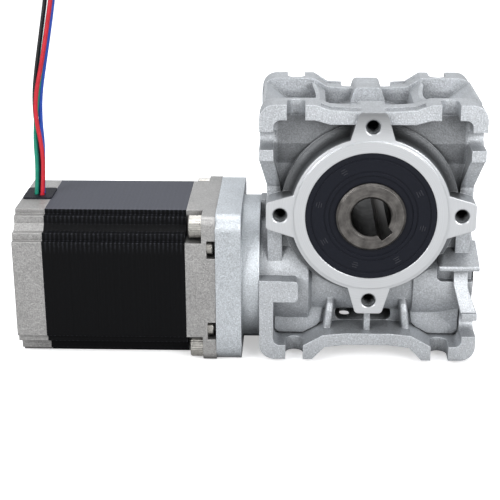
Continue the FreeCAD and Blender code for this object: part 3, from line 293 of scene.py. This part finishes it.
class Surface:
    """One procedural material; sizes and places inside it are in millimetres of the CAD frame."""

    def __init__(self, name, colour, metallic, roughness, specular=0.5):
        self.material = bpy.data.materials.new(name)
        self.material.use_nodes = True
        self.tree = self.material.node_tree
        self.shader = self.tree.nodes["Principled BSDF"]
        self.set("Base Color", (*colour, 1.0))
        self.set("Metallic", metallic)
        self.set("Roughness", roughness)
        self.set("Specular IOR Level", specular)
        coordinates = self.node("ShaderNodeTexCoord")
        scaled = self.node("ShaderNodeVectorMath", {0: coordinates.outputs["Object"]}, operation="SCALE")
        scaled.inputs["Scale"].default_value = 1.0 / MM
        self.place = scaled.outputs[0]
        split = self.node("ShaderNodeSeparateXYZ", {0: self.place})
        self.x, self.y, self.z = split.outputs
        self.normal = None

    def node(self, kind, inputs=None, **settings):
        """A new node with its settings and its inputs, each a value or another node's output."""
        made = self.tree.nodes.new(kind)
        for key, value in settings.items():
            setattr(made, key, value)
        for key, value in (inputs or {}).items():
            if isinstance(value, bpy.types.NodeSocket):
                self.tree.links.new(value, made.inputs[key])
            else:
                made.inputs[key].default_value = value
        return made

    def set(self, name, value):
        """Feeds one input of the shader."""
        if isinstance(value, bpy.types.NodeSocket):
            self.tree.links.new(value, self.shader.inputs[name])
        else:
            self.shader.inputs[name].default_value = value

    def math(self, operation, first, second=0.0):
        """Result of one operation on one or two numbers."""
        return self.node("ShaderNodeMath", {0: first, 1: second}, operation=operation).outputs[0]

    def product(self, first, *others):
        """All the numbers multiplied."""
        for other in others:
            first = self.math("MULTIPLY", first, other)
        return first

    def total(self, first, *others):
        """All the numbers added up."""
        for other in others:
            first = self.math("ADD", first, other)
        return first

    def length(self, first, second):
        """Square root of the sum of two squares."""
        return self.math("SQRT", self.total(self.product(first, first), self.product(second, second)))

    def line(self, value):
        """Vector that varies with one value only."""
        return self.node("ShaderNodeCombineXYZ", {0: value}).outputs[0]

    def noise(self, size, detail=2.0, place=None):
        """Soft noise whose blotches are about size millimetres wide, with finer ones by detail."""
        inputs = {"Vector": place or self.place, "Scale": 1.0 / size, "Detail": detail,
                  "Roughness": NOISE_ROUGHNESS}
        return self.node("ShaderNodeTexNoise", inputs).outputs[0]

    def spread(self, value, low, high, new_low=0.0, new_high=1.0):
        """Maps a value from one range to another and clamps it."""
        return self.node("ShaderNodeMapRange", {"Value": value, "From Min": low, "From Max": high,
                                                "To Min": new_low, "To Max": new_high}).outputs[0]

    def vary(self, noise, low, high):
        """Maps a noise to a range."""
        return self.spread(noise, *NOISE_SPAN, low, high)

    def mix(self, share, first, second):
        """Number between two, by share."""
        return self.node("ShaderNodeMix", {0: share, 2: first, 3: second}, data_type="FLOAT").outputs[0]

    def mix_colour(self, share, first, second):
        """Colour between two, by share."""
        return self.node("ShaderNodeMix", {0: share, 6: first, 7: second}, data_type="RGBA").outputs[2]

    def tint(self, colour, share):
        """Colour multiplied by a number."""
        grey = self.node("ShaderNodeCombineColor", {0: share, 1: share, 2: share}).outputs[0]
        return self.node("ShaderNodeMix", {0: 1.0, 6: (*colour, 1.0), 7: grey}, data_type="RGBA",
                         blend_type="MULTIPLY").outputs[2]

    def dim(self, tone, mask, strength):
        """Tone made darker by a share where the mask is 1."""
        return self.product(tone, self.math("SUBTRACT", 1.0, self.product(mask, strength)))

    def soften_edges(self, radius):
        """Rounds edges in the shading and returns how much each point belongs to an edge."""
        self.normal = self.node("ShaderNodeBevel", {"Radius": radius * MM}, samples=SHADER_SAMPLES).outputs[0]
        flat = self.node("ShaderNodeNewGeometry").outputs["Normal"]
        pair = {0: self.normal, 1: flat}
        same = self.node("ShaderNodeVectorMath", pair, operation="DOT_PRODUCT").outputs["Value"]
        return self.spread(same, *EDGE_COSINES)

    def bump(self, height, depth):
        """Relief of a depth in millimetres over the softened edges."""
        inputs = {"Height": height, "Strength": 1.0, "Distance": depth * MM}
        if self.normal:
            inputs["Normal"] = self.normal
        self.set("Normal", self.node("ShaderNodeBump", inputs).outputs[0])

    def corners(self, reach, closed, opened, dark, light):
        """Painted shade: tone from light in the open to dark in corners that are narrower than reach
        millimetres.
        """
        openness = self.node("ShaderNodeAmbientOcclusion", {"Distance": reach * MM}, samples=SHADER_SAMPLES)
        return self.spread(openness.outputs["AO"], closed, opened, dark, light)

    def radius_about_y(self):
        """Distance from the output axis."""
        return self.length(self.x, self.z)

    def radius_about_x(self):
        """Distance from the worm and motor axis."""
        return self.length(self.y, self.math("SUBTRACT", self.z, WORM_Z))

    def upward(self):
        """1 on faces that look up, 0 on upright ones, -1 on faces that look down."""
        normal = self.node("ShaderNodeNewGeometry").outputs["Normal"]
        return self.node("ShaderNodeSeparateXYZ", {0: normal}).outputs[2]

    def distance_to_taps(self):
        """Distance from the nearest axis of the four tapped holes of an output face."""
        across = self.math("ABSOLUTE", self.x)
        rise = self.math("ABSOLUTE", self.z)
        far = self.math("SUBTRACT", self.math("MAXIMUM", across, rise), TAP_CIRCLE)
        near = self.math("MINIMUM", across, rise)
        return self.length(far, near)

    def rings(self, radius, pitch):
        """Fine turning marks: noise that changes with the radius only."""
        return self.noise(pitch, detail=3.0, place=self.line(radius))


# ---------------------------------------------------------------- metals

# Castings: sizes in millimetres, but the sparkle's is a share of the grain; tones multiply the colour,
# and those of clouds, painted sparkles and painted edge highlights are added to the grain's; painted shade in
# corners is given as reach, limits of openness and tones; a plain roughness is the fallback of its span
CAST_METALLIC = 0.72
CAST_ROUGHNESS = 0.46
CAST_ROUGHNESS_SPAN = (0.38, 0.60)
MACHINED_ROUGHNESS = 0.30
CAST_ROUNDING = 0.5
GRAIN_TONES = (0.70, 1.12)
CLOUD_SIZE = 14.0
CLOUD_TONES = (-0.07, 0.07)
CLOUD_RELIEF = 0.8
SPARKLE_SIZE = 0.8
SPARKLE_SPAN = (0.58, 0.76)
PAINTED_SPARKLE = 0.36
EDGE_HIGHLIGHT = 0.42
TIGHT_CORNER_SHADE = (4.0, 0.10, 0.90, 0.50, 1.0)
WIDE_CORNER_SHADE = (18.0, 0.15, 0.85, 0.78, 1.06)
CAST_RELIEF = 0.14
MACHINED_PITCH = 0.35
MACHINED_TONES = (0.90, 1.05)
MACHINED_RELIEF = 0.3

# Painted shade in the trays, on the boss flanks and in the tapped holes: limits in millimetres between which
# a mask rises from 0 to 1, and how much each mask darkens; a depth is the distance from the middle plane of
# the case
MACHINED_DEPTH = 29.35
TRAY_FRONT = (27.4, 23.5)
TRAY_BACK = (16.2, 17.4)
TRAY_SIDE = (34.4, 33.2)
TRAY_TOP = (35.6, 34.2)
TRAY_BOTTOM = (-11.0, 3.0)
TRAY_SHADE = 0.50
FLANK_RADIUS = (32.9, 32.0)
FLANK_FRONT = (29.2, 27.5)
FLANK_BACK = (17.0, 19.0)
FLANK_SHADE = 0.62
HOLE_EDGE = (2.62, 2.50)
HOLE_DEPTH = 18.3
HOLE_SHADE = 0.72

# Painted shade: faces that look up are toned down, and so are the machined faces of the upper lugs
UPWARD_SPAN = (0.4, 0.95)
UPWARD_SHADE = 0.78
LUG_SPAN = (28.5, 37.0)
LUG_SHADE = 0.42

# Steel: sizes in millimetres, tones as for the castings with painted corner shade and painted edge
# highlights, change of roughness from clean to stained parts
STEEL_ROUNDING = 0.2
STEEL_EDGE_HIGHLIGHT = 0.30
STEEL_CORNER_SHADE = (4.0, 0.1, 0.9, 0.35, 1.0)
STEEL_RELIEF = 0.02
STAIN_SIZE = 3.5
STAIN_SPAN = (0.35, 0.65)
STAIN_ROUGHNESS_CHANGE = (-0.06, 0.08)

# Painted shade in the bore of the hollow shaft: radii between which its wall turns from dark to plain
BORE_SPAN = (7.05, 7.45)
BORE_SHADE = 0.07

# Motor mounting screws: distance from the motor axis in both directions, and ridges around a head; edges get
# a painted highlight
SCREW_SPACING = 23.57
KNURL_RIDGES = 34.0
KNURL_TONES = (0.86, 1.06)
KNURL_RELIEF = 0.05
SCREW_ROUNDING = 0.18
SCREW_EDGE_HIGHLIGHT = 0.25
SCREW_STAIN_SIZE = 1.2
SCREW_STAIN_TONES = (-0.12, 0.08)
SCREW_ROUGHNESS = 0.30
SCREW_ROUGHNESS_SPAN = (0.24, 0.42)

# Lamination stack: pitch of the sheets and of the dots along the axis, stepped corners and top face; the dots
# on edges and stepped corners are painted highlights, and the top face gets a painted sheen
SHEET_PITCH = 0.5
DOT_PITCH = 1.6
CORNER_RADII = (31.5, 34.5)
CORNER_RISE = 14.0
TOP_FACE = (-3.4, -2.4)
EDGE_DOT_GLINT = 26.0
CORNER_DOT_GLINT = 9.0
PAINTED_TOP_SHEEN = 27.0
SHEEN_SPAN = (0.3, 0.95)
SHEEN_TONES = (0.8, 1.2)
STACK_ROUNDING = 0.35
STACK_SPECULAR = 0.10
STACK_TONES = (0.75, 1.25)
STACK_ROUGHNESS = 0.46
STACK_ROUGHNESS_SPAN = (0.40, 0.54)
STACK_RELIEF = 0.02
DOT_SPAN = (0.0, 1.1)
DOT_JITTER = (-0.5, 0.5)
DOT_NOISE = 0.7
SHEET_NOISE = 0.5


def paint_tray_shade(surface, tone, depth):
    """Painted shade in the pockets beside the output boss and on the boss flanks, and painted shade that
    tones down faces that look up.
    """
    inside = surface.product(surface.spread(depth, *TRAY_FRONT), surface.spread(depth, *TRAY_BACK),
                             surface.spread(surface.math("ABSOLUTE", surface.x), *TRAY_SIDE),
                             surface.spread(surface.z, *TRAY_TOP), surface.spread(surface.z, *TRAY_BOTTOM))
    flank = surface.product(surface.spread(surface.radius_about_y(), *FLANK_RADIUS),
                            surface.spread(depth, *FLANK_FRONT), surface.spread(depth, *FLANK_BACK))
    tone = surface.dim(surface.dim(tone, inside, TRAY_SHADE), flank, FLANK_SHADE)
    return surface.product(tone, surface.spread(surface.upward(), *UPWARD_SPAN, 1.0, UPWARD_SHADE))


def cast_metal(name, colour, machined_colour, grain, trays=False):
    """Blasted casting with a grain, painted sparkles, painted shade in corners, painted edge highlights and
    machined output faces, with painted shade in the tapped holes and on the upper lugs.
    """
    surface = Surface(name, colour, CAST_METALLIC, CAST_ROUGHNESS)
    edge = surface.soften_edges(CAST_ROUNDING)
    fine = surface.noise(grain)
    # painted sparkles: bright specks of a finer noise
    sparkle = surface.spread(surface.noise(grain * SPARKLE_SIZE, detail=1.0), *SPARKLE_SPAN)
    cloud = surface.noise(CLOUD_SIZE, detail=3.0)
    tone = surface.total(surface.vary(fine, *GRAIN_TONES), surface.vary(cloud, *CLOUD_TONES),
                         surface.product(sparkle, PAINTED_SPARKLE))
    # painted shade in tight and in wide corners
    tone = surface.product(tone, surface.corners(*TIGHT_CORNER_SHADE), surface.corners(*WIDE_CORNER_SHADE))
    depth = surface.math("ABSOLUTE", surface.y)
    if trays:
        # painted shade in the trays, on the boss flanks and on faces that look up
        tone = paint_tray_shade(surface, tone, depth)
    # painted highlight along the edges
    tone = surface.total(tone, surface.product(edge, EDGE_HIGHLIGHT))
    # painted shade in the tapped holes of the output faces
    hole = surface.product(surface.spread(surface.distance_to_taps(), *HOLE_EDGE),
                           surface.math("GREATER_THAN", depth, HOLE_DEPTH))
    skin = surface.tint(colour, surface.dim(tone, hole, HOLE_SHADE))
    marks = surface.rings(surface.radius_about_y(), MACHINED_PITCH)
    machined = surface.math("GREATER_THAN", depth, MACHINED_DEPTH)
    # painted shade that darkens the machined faces of the upper lugs towards the top
    ground = surface.product(surface.vary(marks, *MACHINED_TONES),
                             surface.spread(surface.z, *LUG_SPAN, 1.0, LUG_SHADE))
    surface.set("Base Color", surface.mix_colour(machined, skin, surface.tint(machined_colour, ground)))
    rough = surface.vary(fine, *CAST_ROUGHNESS_SPAN)
    surface.set("Roughness", surface.mix(machined, rough, MACHINED_ROUGHNESS))
    relief = surface.total(fine, surface.product(cloud, CLOUD_RELIEF))
    surface.bump(surface.mix(machined, relief, surface.product(marks, MACHINED_RELIEF)), CAST_RELIEF)
    return surface.material


def steel(name, colour, roughness, pitch, about="y", contrast=0.12, shaded_bore=False):
    """Turned or ground steel with marks around an axis, faint stains, painted shade in corners and softened
    edges with a painted highlight.
    """
    surface = Surface(name, colour, 1.0, roughness)
    edge = surface.soften_edges(STEEL_ROUNDING)
    radius = surface.radius_about_y() if about == "y" else surface.radius_about_x()
    marks = surface.rings(radius, pitch)
    stain = surface.noise(STAIN_SIZE, detail=4.0)
    tone = surface.total(surface.vary(marks, 1.0 - contrast, 1.0 + contrast),
                         surface.spread(stain, *STAIN_SPAN, -contrast, contrast))
    # painted shade in corners
    tone = surface.product(tone, surface.corners(*STEEL_CORNER_SHADE))
    # painted highlight along the edges
    tone = surface.total(tone, surface.product(edge, STEEL_EDGE_HIGHLIGHT))
    if shaded_bore:
        # painted shade inside the bore
        tone = surface.product(tone, surface.spread(radius, *BORE_SPAN, BORE_SHADE, 1.0))
    surface.set("Base Color", surface.tint(colour, tone))
    surface.set("Roughness", surface.vary(stain, *(roughness + change for change in STAIN_ROUGHNESS_CHANGE)))
    surface.bump(marks, STEEL_RELIEF)
    return surface.material


def knurled_screw(name, colour):
    """Plated cap screws with straight knurling around the head and a painted highlight along the edges."""
    surface = Surface(name, colour, 1.0, SCREW_ROUGHNESS)
    edge = surface.soften_edges(SCREW_ROUNDING)
    height = surface.math("ABSOLUTE", surface.math("SUBTRACT", surface.z, WORM_Z))
    across = surface.math("SUBTRACT", surface.math("ABSOLUTE", surface.y), SCREW_SPACING)
    rise = surface.math("SUBTRACT", height, SCREW_SPACING)
    turn = surface.math("ARCTAN2", rise, across)
    knurl = surface.math("SINE", surface.product(turn, KNURL_RIDGES))
    stain = surface.noise(SCREW_STAIN_SIZE, detail=3.0)
    # the edges get a painted highlight
    tone = surface.total(surface.spread(knurl, -1.0, 1.0, *KNURL_TONES),
                         surface.vary(stain, *SCREW_STAIN_TONES), surface.product(edge, SCREW_EDGE_HIGHLIGHT))
    surface.set("Base Color", surface.tint(colour, tone))
    surface.set("Roughness", surface.vary(stain, *SCREW_ROUGHNESS_SPAN))
    surface.bump(knurl, KNURL_RELIEF)
    return surface.material


def lamination_stack(name, colour):
    """Black painted lamination stack: sheet edges across the motor axis, with painted dotted highlights on
    the edges and steps and a painted sheen on the top face.
    """
    surface = Surface(name, colour, 0.0, STACK_ROUGHNESS, STACK_SPECULAR)
    edge = surface.soften_edges(STACK_ROUNDING)
    sheets = surface.math("SINE", surface.product(surface.x, 2.0 * math.pi / SHEET_PITCH))
    packs = surface.math("SINE", surface.product(surface.x, 2.0 * math.pi / DOT_PITCH))
    jitter = surface.vary(surface.noise(DOT_NOISE, detail=1.0), *DOT_JITTER)
    dots = surface.spread(surface.total(packs, jitter), *DOT_SPAN)
    uneven = surface.noise(SHEET_NOISE, detail=1.0, place=surface.line(surface.x))
    corner = surface.product(surface.spread(surface.radius_about_x(), *CORNER_RADII),
                             surface.spread(surface.z, WORM_Z, WORM_Z + CORNER_RISE))
    # painted highlights: dots along the edges and the stepped corners
    glint = surface.product(dots, surface.total(surface.product(edge, EDGE_DOT_GLINT),
                                                surface.product(corner, CORNER_DOT_GLINT)))
    # painted sheen that lightens the top face
    painted_sheen = surface.product(surface.spread(surface.upward(), *SHEEN_SPAN, 0.0, PAINTED_TOP_SHEEN),
                           surface.spread(surface.z, *TOP_FACE), surface.vary(uneven, *SHEEN_TONES))
    tone = surface.total(surface.vary(uneven, *STACK_TONES), glint, painted_sheen)
    surface.set("Base Color", surface.tint(colour, tone))
    surface.set("Roughness", surface.vary(uneven, *STACK_ROUGHNESS_SPAN))
    surface.bump(surface.product(surface.total(sheets, packs), 0.5), STACK_RELIEF)
    return surface.material


# ---------------------------------------------------------------- rubber, plastic and copper

# Sizes in millimetres; dust, rings and scuffs add to the tone, and so does a painted highlight along the
# edges
SMALL_ROUNDING = 0.2
RUBBER_SPECULAR = 0.18
RUBBER_GRAIN = 0.35
RUBBER_TONES = (0.8, 1.25)
RUBBER_ROUGHNESS_CHANGE = (-0.08, 0.1)
RUBBER_EDGE_HIGHLIGHT = 0.8
RUBBER_RELIEF = 0.03
DUST_SIZE = 1.6
DUST_SPAN = (0.60, 0.80)
DUST_TONE = 0.35
RING_PITCH = 0.5
RING_SPAN = (0.55, 0.75)
RING_TONE = 0.5
RING_RELIEF = 1.5
JACKET_WAVE = 2.5
JACKET_TONES = (0.9, 1.1)
JACKET_ROUGHNESS = 0.34
JACKET_ROUGHNESS_SPAN = (0.28, 0.42)
JACKET_RELIEF = 0.04
SCUFF_SIZE = 0.5
SCUFF_SPAN = (0.62, 0.8)
SCUFF_TONE = 0.25
MOULDED_GRAIN = 0.3
MOULDED_TONES = (0.85, 1.12)
MOULDED_ROUGHNESS_CHANGE = (-0.06, 0.08)
MOULDED_RELIEF = 0.03
COIL_PITCH = 0.55
COIL_GRAIN = 0.4
COIL_TONES = (0.8, 1.15)
COIL_METALLIC = 0.9
COIL_ROUGHNESS = 0.30
COIL_RELIEF = 0.08


def rubber(name, colour, roughness=0.48, rings=False):
    """Moulded rubber with a fine matte grain, pale dust, a painted highlight along the edges and, on a seal,
    faint mould rings.
    """
    surface = Surface(name, colour, 0.0, roughness, RUBBER_SPECULAR)
    edge = surface.soften_edges(SMALL_ROUNDING)
    grain = surface.noise(RUBBER_GRAIN, detail=3.0)
    dust = surface.spread(surface.noise(DUST_SIZE, detail=4.0), *DUST_SPAN, 0.0, DUST_TONE)
    # painted highlight along the edges
    tone = surface.total(surface.vary(grain, *RUBBER_TONES), dust, surface.product(edge, RUBBER_EDGE_HIGHLIGHT))
    height = grain
    if rings:
        marks = surface.rings(surface.radius_about_y(), RING_PITCH)
        tone = surface.total(tone, surface.spread(marks, *RING_SPAN, 0.0, RING_TONE))
        height = surface.total(grain, surface.product(marks, RING_RELIEF))
    surface.set("Base Color", surface.tint(colour, tone))
    surface.set("Roughness", surface.vary(grain, *(roughness + change for change in RUBBER_ROUGHNESS_CHANGE)))
    surface.bump(height, RUBBER_RELIEF)
    return surface.material


def wire_jacket(name, colour):
    """Extruded vinyl insulation: soft gloss, slight waviness and handling marks."""
    surface = Surface(name, colour, 0.0, JACKET_ROUGHNESS)
    wave = surface.noise(JACKET_WAVE)
    scuff = surface.spread(surface.noise(SCUFF_SIZE, detail=4.0), *SCUFF_SPAN, 0.0, SCUFF_TONE)
    surface.set("Base Color", surface.tint(colour, surface.total(surface.vary(wave, *JACKET_TONES), scuff)))
    surface.set("Roughness", surface.vary(wave, *JACKET_ROUGHNESS_SPAN))
    surface.bump(wave, JACKET_RELIEF)
    return surface.material


def moulded(name, colour, roughness):
    """Plain inner material with a fine grain: insulator, magnet or board."""
    surface = Surface(name, colour, 0.0, roughness)
    surface.soften_edges(SMALL_ROUNDING)
    fine = surface.noise(MOULDED_GRAIN, detail=3.0)
    surface.set("Base Color", surface.tint(colour, surface.vary(fine, *MOULDED_TONES)))
    surface.set("Roughness", surface.vary(fine, *(roughness + change for change in MOULDED_ROUGHNESS_CHANGE)))
    surface.bump(fine, MOULDED_RELIEF)
    return surface.material


def copper_coils(name, colour):
    """Enamelled copper winding: turns show as fine ridges around the motor axis."""
    surface = Surface(name, colour, COIL_METALLIC, COIL_ROUGHNESS)
    turns = surface.math("SINE", surface.product(surface.radius_about_x(), 2.0 * math.pi / COIL_PITCH))
    surface.set("Base Color", surface.tint(colour, surface.vary(surface.noise(COIL_GRAIN), *COIL_TONES)))
    surface.bump(turns, COIL_RELIEF)
    return surface.material


MACHINED_GREY = (0.60, 0.615, 0.635)
MATERIALS = {
    "cast_aluminium": cast_metal("cast_aluminium", (0.53, 0.55, 0.575), (0.70, 0.715, 0.735), grain=0.55,
                                 trays=True),
    "flange_aluminium": cast_metal("flange_aluminium", (0.54, 0.57, 0.60), MACHINED_GREY, grain=0.45),
    "bell_aluminium": cast_metal("bell_aluminium", (0.375, 0.37, 0.365), MACHINED_GREY, grain=0.5),
    "seal_rubber": rubber("seal_rubber", (0.0055, 0.0065, 0.011), rings=True),
    "shaft_steel": steel("shaft_steel", (0.165, 0.156, 0.148), roughness=0.38, pitch=0.4, contrast=0.30,
                         shaded_bore=True),
    "bearing_steel": steel("bearing_steel", (0.60, 0.61, 0.62), roughness=0.16, pitch=0.3, contrast=0.05),
    "bronze": steel("bronze", (0.62, 0.40, 0.15), roughness=0.30, pitch=0.4),
    "hardened_steel": steel("hardened_steel", (0.36, 0.36, 0.37), roughness=0.28, pitch=0.3, about="x"),
    "screw_steel": knurled_screw("screw_steel", (0.62, 0.60, 0.56)),
    "dark_screw": steel("dark_screw", (0.28, 0.28, 0.29), roughness=0.34, pitch=0.3, about="x"),
    "spring_steel": steel("spring_steel", (0.12, 0.12, 0.13), roughness=0.35, pitch=0.3, about="x"),
    "lamination": lamination_stack("lamination", (0.0022, 0.0023, 0.0028)),
    "insulator": moulded("insulator", (0.72, 0.69, 0.58), roughness=0.5),
    "copper": copper_coils("copper", (0.62, 0.25, 0.10)),
    "magnet": moulded("magnet", (0.05, 0.05, 0.055), roughness=0.6),
    "board": moulded("board", (0.02, 0.16, 0.06), roughness=0.4),
    "wire_red": wire_jacket("wire_red", (0.46, 0.012, 0.025)),
    "wire_green": wire_jacket("wire_green", (0.006, 0.20, 0.13)),
    "wire_black": wire_jacket("wire_black", (0.012, 0.012, 0.014)),
    "wire_blue": wire_jacket("wire_blue", (0.015, 0.07, 0.42)),
}


def dress_nodes():
    """Gives every CAD node and every added piece its material."""
    for row in frame["record"]["subparts"]:
        node = frame["nodes"][row["node"]]
        node.data.materials.clear()
        node.data.materials.append(MATERIALS[row["material_slot"]])
    for name, (wire, tip) in leads.items():
        wire.data.materials.append(MATERIALS["wire_" + name.split("_")[1]])
        tip.data.materials.append(MATERIALS["bearing_steel"])
    threads.data.materials.append(MATERIALS["flange_aluminium"])
    seal_marks.data.materials.append(rubber("seal_mark", (0.026, 0.027, 0.033), roughness=0.45))


dress_nodes()


# ---------------------------------------------------------------- stage

# Floor in metres: how much it glows, and how grey and how white it is to other surfaces and to the camera
FLOOR_HALF = 6.0
FLOOR_GLOW = 0.45
FLOOR_BOUNCE = (0.38, 0.38, 0.38, 1.0)
FLOOR_SEEN = (0.88, 0.88, 0.89, 1.0)
FLOOR_ROUGHNESS = 0.9
FLOOR_SPECULAR = 0.1

# Sky: direction of its bright side, and its strength from the dim side to the bright one
SKY_AIM = (0.0, 0.80, 0.60)
SKY_SPAN = (-0.6, 0.9)
SKY_LOW = 0.24
SKY_HIGH = 0.70
SKY_COLOUR = (0.96, 0.98, 1.0, 1.0)

# Soft boxes: place and target in metres, and power in watts
LIGHT_SIZE = 0.6
LIGHTS = {
    "top": ((0.05, 0.15, 0.85), (0, 0, 0), 5.0),
    "front_left": ((-0.75, -0.80, 0.50), (-0.03, 0, 0), 10.5),
    "front_right": ((0.60, -0.90, 0.45), (0, 0, 0), 10.5),
}


def make_floor():
    """White floor that the lowest face of the object stands on."""
    floor_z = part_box("input_flange")[0][2]
    mesh = bpy.data.meshes.new("floor")
    corners = ((-1, -1), (1, -1), (1, 1), (-1, 1))
    mesh.from_pydata([(x * FLOOR_HALF, y * FLOOR_HALF, floor_z) for x, y in corners], [], [(0, 1, 2, 3)])
    floor = bpy.data.objects.new("floor", mesh)
    bpy.context.scene.collection.objects.link(floor)
    material = bpy.data.materials.new("floor_white")
    material.use_nodes = True
    tree = material.node_tree
    shader = tree.nodes["Principled BSDF"]
    shader.inputs["Roughness"].default_value = FLOOR_ROUGHNESS
    shader.inputs["Specular IOR Level"].default_value = FLOOR_SPECULAR
    shader.inputs["Emission Color"].default_value = (1.0, 1.0, 1.0, 1.0)
    path = tree.nodes.new("ShaderNodeLightPath")
    glow = tree.nodes.new("ShaderNodeMath")
    glow.operation = "MULTIPLY"
    glow.inputs[1].default_value = FLOOR_GLOW
    tree.links.new(path.outputs["Is Camera Ray"], glow.inputs[0])
    tree.links.new(glow.outputs[0], shader.inputs["Emission Strength"])
    shade = tree.nodes.new("ShaderNodeMix")
    shade.data_type = "RGBA"
    shade.inputs[6].default_value = FLOOR_BOUNCE
    shade.inputs[7].default_value = FLOOR_SEEN
    tree.links.new(path.outputs["Is Camera Ray"], shade.inputs[0])
    tree.links.new(shade.outputs[2], shader.inputs["Base Color"])
    mesh.materials.append(material)


def make_world():
    """Studio sky: bright behind and overhead, dimmer in front, plain white where it is seen directly."""
    world = bpy.data.worlds.new("studio")
    world.use_nodes = True
    tree = world.node_tree
    background = tree.nodes["Background"]
    place = tree.nodes.new("ShaderNodeTexCoord")
    aim = tree.nodes.new("ShaderNodeVectorMath")
    aim.operation = "DOT_PRODUCT"
    aim.inputs[1].default_value = SKY_AIM
    tree.links.new(place.outputs["Generated"], aim.inputs[0])
    height = tree.nodes.new("ShaderNodeMapRange")
    height.inputs["From Min"].default_value, height.inputs["From Max"].default_value = SKY_SPAN
    height.inputs["To Min"].default_value = SKY_LOW
    height.inputs["To Max"].default_value = SKY_HIGH
    tree.links.new(aim.outputs["Value"], height.inputs["Value"])
    seen = tree.nodes.new("ShaderNodeLightPath")
    strength = tree.nodes.new("ShaderNodeMix")
    strength.inputs[3].default_value = 1.0
    tree.links.new(seen.outputs["Is Camera Ray"], strength.inputs[0])
    tree.links.new(height.outputs[0], strength.inputs[2])
    tree.links.new(strength.outputs[0], background.inputs["Strength"])
    background.inputs["Color"].default_value = SKY_COLOUR
    bpy.context.scene.world = world
    bpy.context.scene.view_settings.view_transform = "Standard"


def area_light(name, place, target, power):
    """Soft box that looks at a target."""
    data = bpy.data.lights.new(name, "AREA")
    data.shape = "SQUARE"
    data.size = LIGHT_SIZE
    data.energy = power
    light = bpy.data.objects.new(name, data)
    light.location = place
    light.rotation_euler = (Vector(target) - Vector(place)).to_track_quat("-Z", "Y").to_euler()
    bpy.context.scene.collection.objects.link(light)


make_floor()
make_world()
for light_name, (light_place, light_target, light_power) in LIGHTS.items():
    area_light(light_name, light_place, light_target, light_power)
